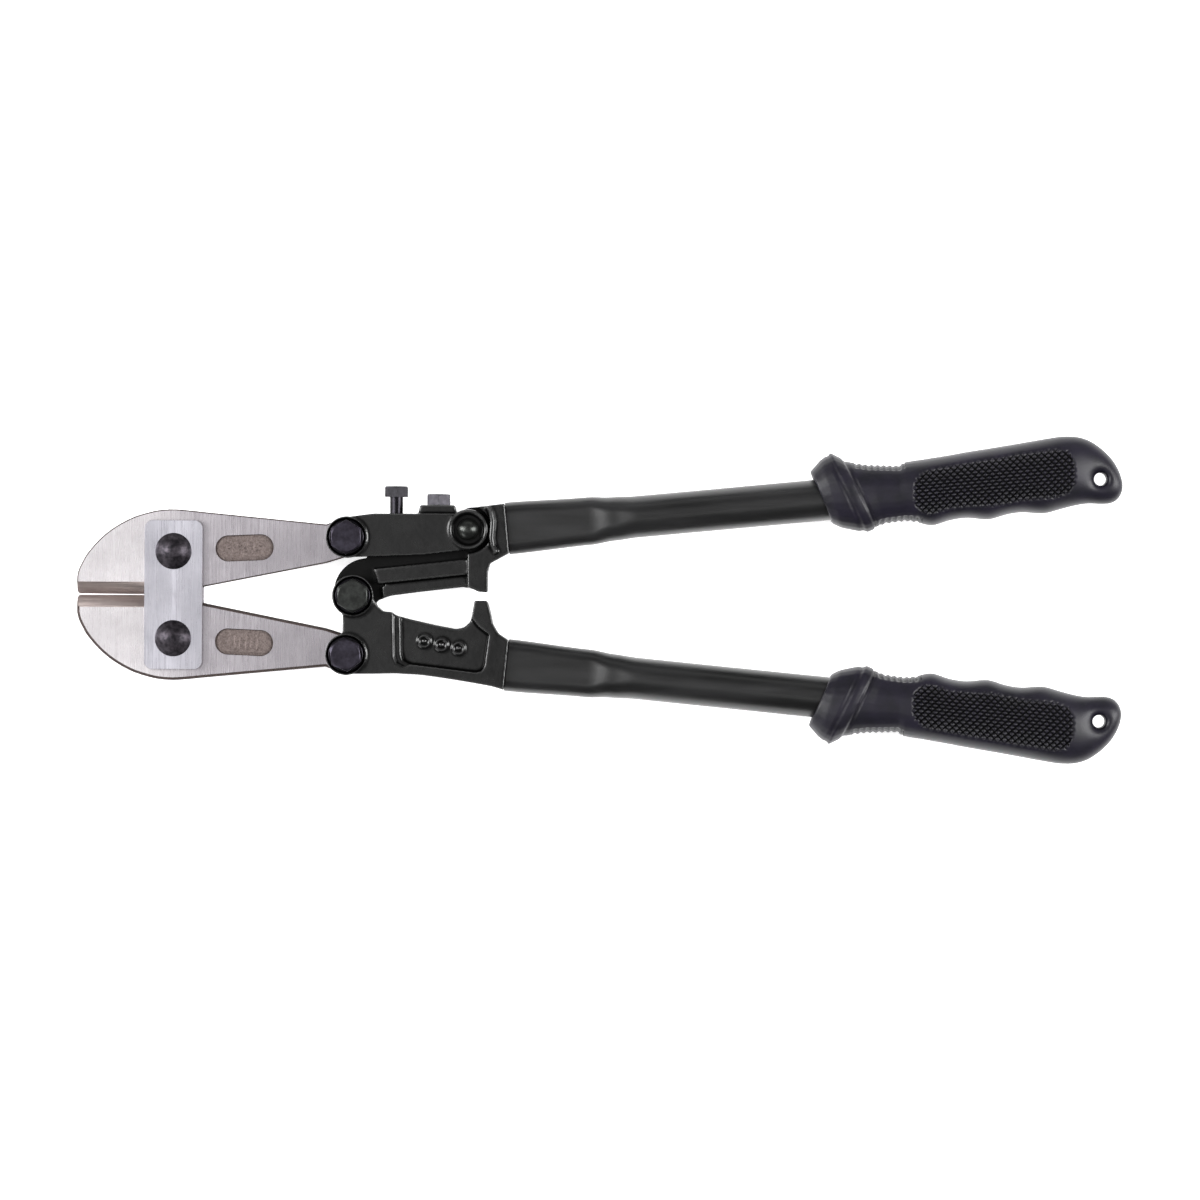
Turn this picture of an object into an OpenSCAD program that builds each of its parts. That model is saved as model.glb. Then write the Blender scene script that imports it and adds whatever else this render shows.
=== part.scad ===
// Compound-action bolt cutters, lying flat with the jaws towards -X.
// Drawn about the centre bolt: x runs from the jaws to the grips, y from the lower to the
// upper handle, z is across the thickness. place() then stands the whole tool on z = 0.

/* [Overall] */
// Distance from the centre bolt to the tips of the jaws
tip_reach = 120.5; // [105:0.5:145]
// Distance from the centre bolt to the ends of the grips
grip_reach = 336; // [280:1:410]
// Angle of each tube handle from the centreline, degrees
handle_angle = 5.5; // [4.8:0.1:6.5]
// Distance of the tube axes from the centreline, at axis_at
axis_rise = 38.3; // [37.5:0.1:46]
// Height of the middle of the jaws above the surface the tool lies on
mid_height = 13.1; // [12:0.1:16]

/* [Linkage] */
// Distance from the centre bolt to each tail bolt
crank = 25.75; // [24:0.05:29]
// Angle by which the tail bolts lean towards the jaws, degrees
crank_lean = 6.5; // [5:0.1:9]
// Distance from each blade bolt to its tail bolt
jaw_back = 75.6; // [66:0.1:90]
// Half the distance between the two blade bolts
blade_rise = 19; // [18:0.1:20]
// Distance of the link pivot from the centre bolt, along the tool
link_pivot_x = 50; // [49:0.1:51]
// Distance of the link pivot from the centreline
link_pivot_y = 29.2; // [29:0.1:30]

/* [Jaws] */
// Thickness of the jaws
jaw_t = 9; // [7.5:0.1:11]
// Largest distance of the jaws' back from the centreline
jaw_rise = 37.3; // [36:0.1:45]
// Gap from the centreline to the cutting edge at the tip
edge_gap = 0.25; // [0.22:0.01:0.4]
// Width of the ground cutting bevel
bevel_w = 5.3; // [4:0.1:6.5]
// Radius of the jaws' tail ends
tail_r = 8.2; // [7:0.1:8.6]
// Length of the oblong recess in each jaw
recess_l = 25; // [20:0.5:30]
// Width of the oblong recess
recess_w = 11; // [8:0.5:13]
// Depth of the oblong recess
recess_d = 1; // [0.6:0.1:1.4]

/* [Straps] */
// Width of the strap plates
strap_w = 25.3; // [23:0.1:30]
// Margin of the strap plates beyond the blade bolts
strap_margin = 13.5; // [12:0.1:17]
// Thickness of the strap plates
strap_t = 3.5; // [3:0.1:4.5]
// Corner radius of the strap plates
strap_corner = 3.6; // [2:0.1:6]

/* [Fittings] */
// Thickness of each clevis and link plate
prong_t = 4.3; // [3.6:0.1:5.5]
// Thickness of the lower flange of the upper fitting, across the tool
flange_t = 12; // [11:0.5:14]
// Depth of the seats under the bolt heads
seat_d = 0.8; // [0.4:0.1:1.2]
// Depth of the recessed panels
panel_d = 2.2; // [1:0.1:3]
// Depth of the step on the panel's left
panel_step_d = 0.8; // [0.4:0.1:1]
// Radius of the link's two ends
link_end_r = 8.8; // [8.6:0.1:9.2]
// Radius of the clevis boss around the centre bolt
clevis_r = 9; // [8.6:0.1:9.6]

/* [Fasteners] */
// Radius of the blade bolts
blade_bolt_r = 5; // [4.2:0.1:6]
// Radius of the domed heads of the blade bolts
dome_r = 8; // [7.5:0.1:9]
// Height of the domed heads
dome_h = 4.5; // [3.5:0.1:5.5]
// Radius of the tail and centre bolts
bolt_r = 4; // [3.3:0.1:4.6]
// Width across flats of the tail and centre bolt heads and nuts
hex_af = 13; // [12:0.5:14]
// Height of the hex heads
hex_h = 5.3; // [4.5:0.1:6]
// Thickness of the washers
washer_t = 1.2; // [0.8:0.1:1.6]
// Radius of the washers
washer_r = 7.7; // [7.5:0.1:8.2]
// Radius of the small screws: link pivot, adjusting and locking
screw_r = 2.95; // [2.4:0.05:3.4]
// Width across flats of the small screws' heads
screw_af = 10; // [9:0.5:11]
// Height of the small screws' heads
screw_head_h = 4.8; // [4:0.1:5.5]

/* [Handles] */
// Diameter of the tubes
tube_d = 18.2; // [16:0.1:22]
// Wall of the tubes
tube_wall = 1.6; // [1.2:0.1:2]
// Height of the tubes' flattened front
tube_front_h = 22.8; // [21:0.1:25]
// Thickness of the tubes' flattened front
tube_front_t = 11.4; // [10:0.1:13]
// Half thickness of the grips
grip_half_t = 13; // [12:0.1:13.1]
// Radius of the hanging holes
hang_r = 3.25; // [2.5:0.05:4]
// Length of the hanging holes
hang_l = 15; // [12:0.5:17]

/* [Fits] */
// Radial clearance of a turning shaft
running = 0.05; // [0.03:0.01:0.09]
// Radial clearance of a shaft that doesn't turn
snug = 0.03; // [0.01:0.01:0.06]
// Gap between a moving flat face and its neighbour
side_gap = 0.15; // [0.1:0.01:0.3]
// Gap between a sweeping round and the wall around it
sweep_gap = 0.6; // [0.4:0.05:1]

/* [Hidden] */
$fn = 48;

steel = "#c9c7c4";
strap_steel = "#cfced6";
black_oxide = "#4a444a";
zinc = "#b4b0b8";
black_paint = "#26262a";
tube_paint = "#35353a";
rubber = "#2b2933";

// The two moving pivots of the upper half, from the linkage's own lengths.
tail = [-crank * sin(crank_lean), crank * cos(crank_lean)];
blade = [tail[0] - sqrt(pow(jaw_back, 2) - pow(tail[1] - blade_rise, 2)), blade_rise];
link_pivot = [link_pivot_x, link_pivot_y];

// Levels across the thickness, measured from the middle.
jaw_z = jaw_t / 2;
web_z = jaw_z - 0.3;
strap_in = jaw_z + side_gap;
strap_out = strap_in + strap_t;
prong_in = jaw_z + side_gap;
prong_out = prong_in + prong_t;
seat_z = prong_out - seat_d;
rib_z = prong_out - 1.2;

nose_l = tip_reach + blade[0];
middle_x = (grip_reach - tip_reach) / 2;
axis_at = 155;

module place() { translate([-middle_x, 0, mid_height]) children(); }
module at(p) { translate([p[0], p[1], 0]) children(); }
module mirror_y() { mirror([0, 1, 0]) children(); }
module slab(half) { translate([0, 0, -half]) linear_extrude(2 * half) children(); }
module layer(low, high) {
  translate([0, 0, low]) linear_extrude(high - low) children();
  translate([0, 0, -high]) linear_extrude(high - low) children();
}
module shaft(r, low, high) { translate([0, 0, low]) cylinder(r = r, h = high - low); }
module through(r) { shaft(r, -20, 20); }
module above(r, z) {
  shaft(r, z, 20);
  shaft(r, -20, -z);
}

// Smooth curve through hand-chosen points, n steps between each pair.
function knot(p, i) = p[min(max(i, 0), len(p) - 1)];
function blend_at(a, b, c, d, t) =
  0.5 * (2 * b + (c - a) * t + (2 * a - 5 * b + 4 * c - d) * t * t + (3 * b - a - 3 * c + d) * t * t * t);
function smooth(p, n) = concat(
  [for (i = [0 : len(p) - 2], k = [0 : n - 1])
    blend_at(knot(p, i - 1), p[i], p[i + 1], knot(p, i + 2), k / n)],
  [p[len(p) - 1]]);

// Point where the tangent from p touches the circle about c; side is 1 or -1.
function heading(v) = atan2(v[1], v[0]);
function touch(p, c, r, side) =
  let (turn = heading(p - c) + side * acos(r / norm(p - c))) c + r * [cos(turn), sin(turn)];

// ---- Jaws ----
nose = [[-1, 7.6], [-0.985, 10.6], [-0.94, 14.6], [-0.885, 18.4], [-0.77, 24], [-0.646, 28.4],
  [-0.52, 31.7], [-0.4, 34.1], [-0.27, 35.8], [-0.15, 36.9], [0, 37.3], [0.14, 36.9], [0.3, 36.2]];
nose_top = 37.3;
tail_root_x = tail[0] - 9;
tail_root_top = tail[1] + 5.5;
tail_root_low = tail[1] - 11.4;
throat_x = blade[0] + 14.2;
throat_y = 3.8;
contact_y = 0.185;

function jaw_outline() =
  let (top = [tail_root_x, tail_root_top], low = [tail_root_x, tail_root_low])
  concat(
    [[-tip_reach + 0.9, edge_gap], [-tip_reach, 1.4]],
    smooth([for (p = nose) [blade[0] + p[0] * nose_l, p[1] * jaw_rise / nose_top]], 3),
    [top, touch(top, tail, tail_r, -1), touch(low, tail, tail_r, 1), low,
      [throat_x, throat_y], [blade[0] - 0.5, contact_y]]);

module bevel_tool() {
  // One ground bevel: everything outside the sloping plane from the edge to the shoulder.
  rotate([90, 0, 90]) linear_extrude(nose_l - strap_w / 2 + 3)
    polygon([[-3, 0.25], [edge_gap, 0.25], [edge_gap + bevel_w, jaw_z], [edge_gap + bevel_w, jaw_z + 2],
      [-3, jaw_z + 2]]);
}
module oblong(length, width) {
  square([length - width, width], center = true);
  for (s = [-1, 1]) translate([s * (length - width) / 2, 0]) circle(d = width);
}
module jaw() {
  recess_at = [blade[0] + 30.8, 20.6];
  difference() {
    union() {
      slab(jaw_z) polygon(jaw_outline());
      at(tail) slab(jaw_z) circle(r = tail_r);
    }
    for (side = [0, 1]) mirror([0, 0, side]) {
      translate([-tip_reach - 1, 0, 0]) bevel_tool();
      at(recess_at) rotate([0, 0, 2.5])
        translate([0, 0, jaw_z - recess_d]) linear_extrude(5) oblong(recess_l, recess_w);
    }
    at(tail) through(bolt_r + running);
    children();
  }
}
module upper_jaw() {
  // The blade bolt's hole is slotted towards the cutting edge, hidden under the straps.
  slot_low = 5.75;
  slot_high = 0.7;
  slot_lean = 0.35;
  color(steel) jaw() at(blade) {
    translate([slot_lean, -slot_low, 0]) through(blade_bolt_r + 0.45);
    translate([slot_lean / 2, slot_high, 0]) through(blade_bolt_r + 0.2);
    slab(20) polygon([[-blade_bolt_r - 0.03, slot_high], [slot_lean - blade_bolt_r - 0.3, -slot_low],
      [slot_lean + blade_bolt_r + 0.45, -slot_low], [slot_lean + blade_bolt_r, slot_high]]);
  }
}
module lower_jaw() {
  color(steel) mirror_y() jaw() at(blade) through(blade_bolt_r + running);
}

// ---- Straps ----
module strap_plate() {
  half_w = strap_w / 2;
  half_h = blade_rise + strap_margin;
  difference() {
    translate([blade[0], 0, strap_in]) linear_extrude(strap_t) {
      square([strap_w - 2 * strap_corner, 2 * half_h], center = true);
      square([strap_w, 2 * (half_h - strap_corner)], center = true);
      for (i = [-1, 1], j = [-1, 1])
        translate([i * (half_w - strap_corner), j * (half_h - strap_corner)]) circle(r = strap_corner);
    }
    for (j = [-1, 1]) at([blade[0], j * blade_rise]) through(blade_bolt_r + snug);
  }
}
module front_strap() { color(strap_steel) strap_plate(); }
module back_strap() { color(strap_steel) mirror([0, 0, 1]) strap_plate(); }

// ---- Bolts, nuts and washers ----
nut_h = mid_height - strap_out;
seat_nut_h = mid_height - seat_z;
dome_sphere = (pow(dome_r, 2) + pow(dome_h, 2)) / (2 * dome_h);

module hex(af, h) { cylinder(d = af / cos(30), h = h, $fn = 6); }
module hex_head(af, h) {
  // Hexagon with its corners turned down to a round face.
  intersection() {
    hex(af, h);
    union() {
      cylinder(d = af / cos(30) + 0.01, h = h - 0.9);
      translate([0, 0, h - 0.9]) cylinder(d1 = af / cos(30) + 0.01, d2 = af - 0.6, h = 0.9);
    }
  }
}
module nut(af, h, bore) {
  difference() {
    hex_head(af, h);
    translate([0, 0, -1]) cylinder(r = bore, h = h + 2);
  }
}
module blade_bolt() {
  color(black_oxide) at(blade) {
    shaft(blade_bolt_r, -mid_height + 0.4, strap_out + 0.1);
    translate([0, 0, strap_out]) intersection() {
      translate([0, 0, dome_h - dome_sphere]) sphere(r = dome_sphere, $fn = 64);
      cylinder(r = dome_r, h = dome_h);
    }
  }
}
module blade_nut() {
  color(black_oxide) at(blade) mirror([0, 0, 1])
    translate([0, 0, strap_out]) nut(16, nut_h, blade_bolt_r + snug);
}
module cross_bolt(turn) {
  color(black_oxide) {
    shaft(bolt_r, -mid_height + 0.4, seat_z + washer_t + 0.1);
    translate([0, 0, seat_z + washer_t]) rotate([0, 0, turn]) hex_head(hex_af, hex_h);
  }
}
module cross_washer() {
  color(black_oxide) translate([0, 0, seat_z]) difference() {
    cylinder(r = washer_r, h = washer_t);
    translate([0, 0, -1]) cylinder(r = bolt_r + snug, h = washer_t + 2);
  }
}
module cross_nut() {
  color(black_oxide) mirror([0, 0, 1]) translate([0, 0, seat_z])
    rotate([0, 0, 15]) nut(hex_af, seat_nut_h, bolt_r + snug);
}

// ---- Adjuster link and its screws ----
link_top = 36;
link_web_low = 31;
pad = [28.1, 45.3];
pad_top = 39.8;
link_web_start = tail[0] + tail_r + sweep_gap + 1.6;
adjusting_x = 18.6;
locking_x = 37.1;
adjusting_head_y = 43.2;
web_top = link_web_low - 0.8;

module link_plate() {
  circle_top = tail + [0, link_end_r];
  polygon([circle_top, [9, link_top], [44, link_top], link_pivot + [-2, link_end_r - 0.25],
    link_pivot + [1.2, -link_end_r + 0.15], [30, 18], tail + [1, -link_end_r + 0.08]]);
  translate(tail) circle(r = link_end_r);
  translate(link_pivot) circle(r = link_end_r);
}
module down_hole(x, r, low, high) {
  translate([x, low, 0]) rotate([-90, 0, 0]) cylinder(r = r, h = high - low);
}
module adjuster_link() {
  color(black_paint) difference() {
    union() {
      layer(prong_in, prong_out) link_plate();
      slab(prong_in + 0.5) translate([link_web_start, link_web_low])
        square([pad[1] - link_web_start, link_top - link_web_low]);
      slab(rib_z) polygon([[pad[0], link_top - 1], [pad[0] + 1, pad_top], [pad[1] - 1, pad_top],
        [pad[1], link_top - 1]]);
    }
    at(tail) through(bolt_r + snug);
    at(tail) above(link_end_r + 0.6, seat_z);
    at(link_pivot) through(screw_r + snug);
    at(link_pivot) above(7, seat_z);
    down_hole(adjusting_x, screw_r + running, 20, 50);
    down_hole(locking_x, screw_r + running, 20, 50);
  }
}
module link_pivot_screw() {
  head_r = 4.6;
  head_h = 2.6;
  crown_r = (pow(head_r, 2) + pow(head_h, 2)) / (2 * head_h);
  color(black_oxide) at(link_pivot) {
    shaft(screw_r, -seat_z - 3.2, seat_z + 0.1);
    translate([0, 0, seat_z]) intersection() {
      cylinder(r = head_r, h = head_h);
      translate([0, 0, head_h - crown_r]) sphere(r = crown_r);
    }
  }
}
module link_pivot_nut() {
  color(black_oxide) at(link_pivot) mirror([0, 0, 1])
    translate([0, 0, seat_z]) nut(screw_af, 3.4, screw_r + snug);
}
module set_screw(x, low, head_y) {
  color(zinc) translate([x, 0, 0]) rotate([-90, 0, 0]) {
    shaft(screw_r, low, head_y + 0.1);
    translate([0, 0, head_y]) rotate([0, 0, 30]) hex_head(screw_af, screw_head_h);
  }
}
module adjusting_screw() { set_screw(adjusting_x, web_top + 0.05, adjusting_head_y); }
module locking_screw() { set_screw(locking_x, 20, pad_top + 0.05); }

// ---- Handle fittings ----
function axis_y(x) = axis_rise + (x - axis_at) * tan(handle_angle);
shoulder_x = 67;
shoulder = [shoulder_x, axis_y(shoulder_x)];
across = [-sin(handle_angle), cos(handle_angle)];
body_half = tube_front_h / 2 - 0.5;
body_top = shoulder + across * body_half;
body_low = shoulder - across * body_half;
lug_x = 58.9;
lug_gap = 1.75;
tongue_r = 8.8;
tongue_slot_r = 11.4;
heel = [6.5, 1.5];
heel_r = 15;
socket_r = link_end_r + 1.6;

module shank() {
  // Tongue of the forging inside the flattened tube.
  half_t = tube_front_t / 2 - tube_wall - 0.15;
  half_h = tube_front_h / 2 - tube_wall - 1.2;
  translate([shoulder[0], shoulder[1], 0]) rotate([0, 0, handle_angle]) {
    translate([-6, -half_h + half_t, -half_t]) cube([36, 2 * (half_h - half_t), 2 * half_t]);
    for (s = [-1, 1]) translate([-6, s * (half_h - half_t), 0]) rotate([0, 90, 0]) cylinder(r = half_t, h = 36);
  }
}
module upper_web() {
  circle(r = tongue_r);
  polygon(concat(
    [for (a = [92 : 8 : 188]) heel + heel_r * [cos(a), sin(a)]],
    [[0, 0], [6, -8.6], [11.1, -1.9], [16.7, 0.1], [30.1, 1.9], [48, 4], [52.5, 3.1],
      [54.7, lug_gap + 0.3], [lug_x, lug_gap], [lug_x, 10.9], [59.8, 14.4]],
    [body_low, body_top],
    [[58.2, 39.6], [50, 38.7], [46.2, 37], [46.2, web_top], [8.2, web_top], [7.2, 26], [6.4, 20]]));
}
module upper_body() {
  polygon(concat(
    [[52.5, 3.1], [54.7, lug_gap + 0.3], [lug_x, lug_gap], [lug_x, 10.9], [59.8, 14.4]],
    [body_low, body_top],
    [[58.2, 39.6], [50, 38.7], [50, 16.4], [50, 4]]));
}
module upper_rib() {
  polygon([[9, 11.7], [52.1, 16.6], [56, 16], [58.7, 10.5], [11, 5.3]]);
}
module upper_flange() {
  polygon([[13, -1], [16.7, 0.1], [30.1, 1.9], [48, 4], [54, 3], [57, 10.5], [15.5, 6], [12.6, 4]]);
}
module upper_fitting() {
  color(black_paint) difference() {
    union() {
      slab(web_z) upper_web();
      slab(flange_t / 2) upper_flange();
      difference() {
        union() {
          slab(prong_out - 0.3) upper_body();
          slab(rib_z) upper_rib();
        }
        for (s = [0, 1]) mirror([0, 0, s]) {
          at(link_pivot) shaft(socket_r, web_z, 20);
          shaft(clevis_r + 2.9, web_z, 20);
        }
      }
      shank();
    }
    through(bolt_r + running);
    at(link_pivot) through(screw_r + snug);
    down_hole(locking_x, screw_r + running, 18, 40);
  }
}

lower_top = [[53, -lug_gap], [52.1, -7.2], [51.2, -11], [48.6, -13.4], [45.1, -14.2], [35.5, -12.4],
  [24.6, -9.9], [18.9, -8.4], [16.8, -6.9], [13.3, -6.7], [10.4, -4.3], [8.6, 1]];
lower_bottom = [[10, -34], [18.9, -33.8], [30.3, -34.4], [41.2, -35.9], [52.6, -37.7], [61, -39.2]];

module lower_outline() {
  tail_low = [tail[0], -tail[1]];
  circle(r = clevis_r);
  translate(tail_low) circle(r = link_end_r - 0.2);
  polygon(concat(
    [[-4.4, -7], [-4.4, -18.4], tail_low + [0.5, -link_end_r + 0.22]],
    lower_bottom,
    [[body_top[0], -body_top[1]], [body_low[0], -body_low[1]]],
    [[63.7, -16.1], [61.3, -12.1], [60.4, -7.8], [59.1, -2.6], [lug_x - 0.8, -lug_gap]],
    lower_top));
}
module lower_panel() {
  polygon([[20.8, -6], [21.2, -25.5], [22.2, -28.3], [25, -29.7], [53.5, -33.1], [56, -32.6],
    [57.6, -30.4], [59.4, -16.5], [55, -13.2], [49, -6]]);
}
module lower_panel_step() {
  polygon([[17.6, -6], [18, -26.5], [19.2, -29.4], [22, -30.8], [25, -29.7], [30, -6]]);
}
module lower_fitting() {
  tail_low = [tail[0], -tail[1]];
  slot_edge = tail[0] + tail_r + sweep_gap;
  color(black_paint) difference() {
    union() {
      slab(prong_out) lower_outline();
      mirror_y() shank();
    }
    slab(prong_in) {
      circle(r = tongue_slot_r);
      translate(tail_low) circle(r = tail_r + sweep_gap);
      translate([slot_edge - 60, -60]) square([60, 80]);
    }
    layer(prong_out - panel_d, prong_out + 1) lower_panel();
    layer(prong_out - panel_step_d, prong_out + 1) lower_panel_step();
    through(bolt_r + snug);
    above(clevis_r + 0.4, seat_z);
    at(tail_low) through(bolt_r + snug);
    at(tail_low) above(link_end_r + 0.4, seat_z);
  }
}

// ---- Tubes and grips ----
// Closed skin over a row of rings with the same number of points.
module loft(rings) {
  n = len(rings[0]);
  last = len(rings) - 1;
  polyhedron(
    points = [for (r = rings) for (p = r) p],
    faces = concat(
      [[for (k = [0 : n - 1]) k]],
      [[for (k = [n - 1 : -1 : 0]) last * n + k]],
      [for (i = [0 : last - 1], k = [0 : n - 1])
        each [[i * n + k, (i + 1) * n + k, i * n + (k + 1) % n],
          [i * n + (k + 1) % n, (i + 1) * n + k, (i + 1) * n + (k + 1) % n]]]));
}
tube_sides = 40;
// Flattened ring across the tube axis at x, half_h in the plane and half_t through it.
function tube_ring(x, half_h, half_t) = [for (k = [0 : tube_sides - 1])
  let (a = k * 360 / tube_sides + 180 / tube_sides,
    side = half_t * cos(a) + sign(cos(a)) * (half_h - half_t),
    spot = [x, axis_y(x)] + across * side)
  [spot[0], spot[1], half_t * sin(a)]];
// The tube stays pressed flat as far as tube_flat_x and is round again from tube_round_x.
tube_flat_x = 103;
tube_round_x = 124;
tube_r = tube_d / 2;
tube_end_x = grip_reach - 36;

module tube_form(inset, reach) {
  loft([
    tube_ring(shoulder_x - reach, tube_front_h / 2 - inset, tube_front_t / 2 - inset),
    tube_ring(tube_flat_x, tube_front_h / 2 - 0.9 - inset, tube_front_t / 2 + 0.2 - inset),
    tube_ring((tube_flat_x + tube_round_x) / 2, tube_r + 0.5 - inset, tube_r - 1.3 - inset),
    tube_ring(tube_round_x, tube_r - inset, tube_r - inset),
    tube_ring(tube_end_x + reach, tube_r - inset, tube_r - inset)]);
}
module tube() {
  difference() {
    tube_form(0, 0);
    tube_form(tube_wall, 1);
  }
}
module upper_tube() { color(tube_paint) tube(); }
module lower_tube() { color(tube_paint) mirror_y() tube(); }

// Stations of the grip from its front: distance from the grip's end and offset from the tube
// axis, first for the outer edge, then for the inner one, then the half thickness as a share.
grip_stations = [
  [136.8, 12.9, 127.1, -10.5, 0.8], [132.5, 17.5, 123, -12.9, 0.92], [128.1, 20.4, 116.5, -14.9, 1],
  [124, 18, 111.5, -15.9, 1], [120, 15.6, 108, -14.7, 0.95], [112, 13.8, 104.5, -13.1, 0.91],
  [98.5, 12.1, 97.5, -12.7, 0.9], [95.5, 13.3, 94.5, -12.7, 0.93], [90, 13.8, 90, -13.6, 0.97],
  [83.5, 14.3, 83.5, -16.2, 1], [76, 14.8, 75.5, -13.9, 1], [69, 15.5, 68, -13.5, 1],
  [59, 16.2, 58.5, -15.7, 1], [52, 16.7, 51.5, -13.8, 1], [44.5, 17.3, 44.5, -13.2, 1],
  [34.5, 18.2, 34.5, -15.2, 0.96], [26.5, 18.8, 26, -13.4, 0.87], [20, 18.1, 20, -12.5, 0.76],
  [14.5, 15.8, 15, -12.2, 0.67], [9, 11.5, 9, -13.4, 0.61], [4.5, 6.5, 4.5, -13.4, 0.56],
  [1.5, 1, 1.5, -11.4, 0.46], [0, -4.2, 0, -7.7, 0.34]];
hang_at = [grip_reach - 10.2, axis_y(grip_reach - 10.2) - 1.9];

grip_sides = 28;
function signed_power(v, e) = sign(v) * pow(abs(v), e);
function grip_ring(s) =
  let (outer = [grip_reach - s[0], axis_y(grip_reach - s[0]) + s[1]],
    inner = [grip_reach - s[2], axis_y(grip_reach - s[2]) + s[3]],
    half_t = grip_half_t * s[4])
  [for (k = [0 : grip_sides - 1])
    let (a = k * 360 / grip_sides,
      spot = (outer + inner) / 2 + (outer - inner) / 2 * signed_power(cos(a), 0.86))
    [spot[0], spot[1], half_t * signed_power(sin(a), 0.86)]];

module grip() {
  bore = tube_r + snug;
  difference() {
    loft([for (s = grip_stations) grip_ring(s)]);
    translate([axis_at, axis_rise, 0]) rotate([0, 90, handle_angle])
      cylinder(r = bore, h = (tube_end_x - axis_at) / cos(handle_angle) + 0.5);
    at(hang_at) through(hang_r);
    at(hang_at) above(hang_r + 2.6, hang_l / 2);
  }
}
module upper_grip() { color(rubber) grip(); }
module lower_grip() { color(rubber) mirror_y() grip(); }

place() upper_jaw();
place() lower_jaw();
place() front_strap();
place() back_strap();
place() blade_bolt();  // upper_blade_bolt
place() mirror_y() blade_bolt();  // lower_blade_bolt
place() blade_nut();  // upper_blade_nut
place() mirror_y() blade_nut();  // lower_blade_nut
place() at(tail) cross_bolt(30);  // upper_tail_bolt
place() mirror_y() at(tail) cross_bolt(22);  // lower_tail_bolt
place() at(tail) cross_washer();  // upper_tail_washer
place() mirror_y() at(tail) cross_washer();  // lower_tail_washer
place() at(tail) cross_nut();  // upper_tail_nut
place() mirror_y() at(tail) cross_nut();  // lower_tail_nut
place() cross_bolt(30);  // centre_bolt
place() cross_washer();  // centre_washer
place() cross_nut();  // centre_nut
place() adjuster_link();
place() link_pivot_screw();
place() link_pivot_nut();
place() adjusting_screw();
place() locking_screw();
place() upper_fitting();
place() lower_fitting();
place() upper_tube();
place() lower_tube();
place() upper_grip();
place() lower_grip();
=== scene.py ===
"""Looks for a pair of compound-action bolt cutters lying on a pale studio floor.

The frame holds every piece at its real size, in metres. The sections below follow the tool as it is
put together: jaws, straps, bolts, screws, the link and the two forged fittings, the tubes, the grips.
"""
import math

import bmesh
import bpy
import numpy as np
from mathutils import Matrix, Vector, noise
from mathutils.bvhtree import BVHTree


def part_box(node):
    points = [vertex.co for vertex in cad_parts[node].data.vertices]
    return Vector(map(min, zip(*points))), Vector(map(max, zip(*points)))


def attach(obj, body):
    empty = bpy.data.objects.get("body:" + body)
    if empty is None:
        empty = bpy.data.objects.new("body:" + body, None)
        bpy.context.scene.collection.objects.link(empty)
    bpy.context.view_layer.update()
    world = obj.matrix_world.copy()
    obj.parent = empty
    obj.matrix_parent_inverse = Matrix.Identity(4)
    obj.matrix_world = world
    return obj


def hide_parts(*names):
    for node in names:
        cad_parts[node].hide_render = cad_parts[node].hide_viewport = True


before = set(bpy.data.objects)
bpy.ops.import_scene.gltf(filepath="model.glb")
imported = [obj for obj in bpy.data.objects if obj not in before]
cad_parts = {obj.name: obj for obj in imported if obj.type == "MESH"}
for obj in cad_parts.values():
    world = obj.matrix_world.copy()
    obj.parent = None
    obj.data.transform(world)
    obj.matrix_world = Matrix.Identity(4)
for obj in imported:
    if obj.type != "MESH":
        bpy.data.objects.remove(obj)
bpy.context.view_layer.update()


# ---- Studio: floor, lights and camera ----
# A white light table under softboxes. The tool is seen square from above, as it would be laid out
# for a catalogue, by a camera with a long lens.
def linear(hex_colour):
    """Turns an sRGB hex colour into the linear values that a shader takes."""
    parts = [int(hex_colour[i:i + 2], 16) / 255 for i in (1, 3, 5)]
    return tuple(c / 12.92 if c <= 0.04045 else ((c + 0.055) / 1.055) ** 2.4 for c in parts) + (1.0,)


def add_node(material, kind, settings=None, links=None):
    """Adds one shader node: settings by socket or property name, links by socket name."""
    tree = material.node_tree
    node = tree.nodes.new(kind)
    for key, value in (settings or {}).items():
        if isinstance(key, int) or key in node.inputs:
            node.inputs[key].default_value = value
        else:
            setattr(node, key, value)
    for key, source in (links or {}).items():
        tree.links.new(source, node.inputs[key])
    return node


def blank_material(name):
    """An empty node material and its object coordinates."""
    material = bpy.data.materials.new(name)
    material.use_nodes = True
    material.node_tree.nodes.clear()
    return material, add_node(material, "ShaderNodeTexCoord").outputs["Object"]


def colour_ramp(material, factor, *stops):
    """Colours a factor by stops of position and sRGB hex colour."""
    ramp = add_node(material, "ShaderNodeValToRGB", links={"Fac": factor})
    while len(ramp.color_ramp.elements) < len(stops):
        ramp.color_ramp.elements.new(0.5)
    for element, (position, colour) in zip(ramp.color_ramp.elements, stops):
        element.position = position
        element.color = linear(colour)
    return ramp.outputs[0]


def surface(material, settings, links):
    """Closes a material with its shader and output."""
    shader = add_node(material, "ShaderNodeBsdfPrincipled", settings, links)
    add_node(material, "ShaderNodeOutputMaterial", links={"Surface": shader.outputs[0]})
    return material


def floor_paint():
    """Opal white tabletop, lit from below so that it stays free of hard shadows."""
    material, place = blank_material("opal_tabletop")
    haze = add_node(material, "ShaderNodeTexNoise", {"Scale": 3.0}, {"Vector": place})
    tint = colour_ramp(material, haze.outputs["Fac"], (0.3, "#fbfbfb"), (0.7, "#ffffff"))
    return surface(material, {"Roughness": 1.0, "Specular IOR Level": 0.0, "Emission Strength": 0.75,
                              "Emission Color": linear("#ffffff")}, {"Base Color": tint})


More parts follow.
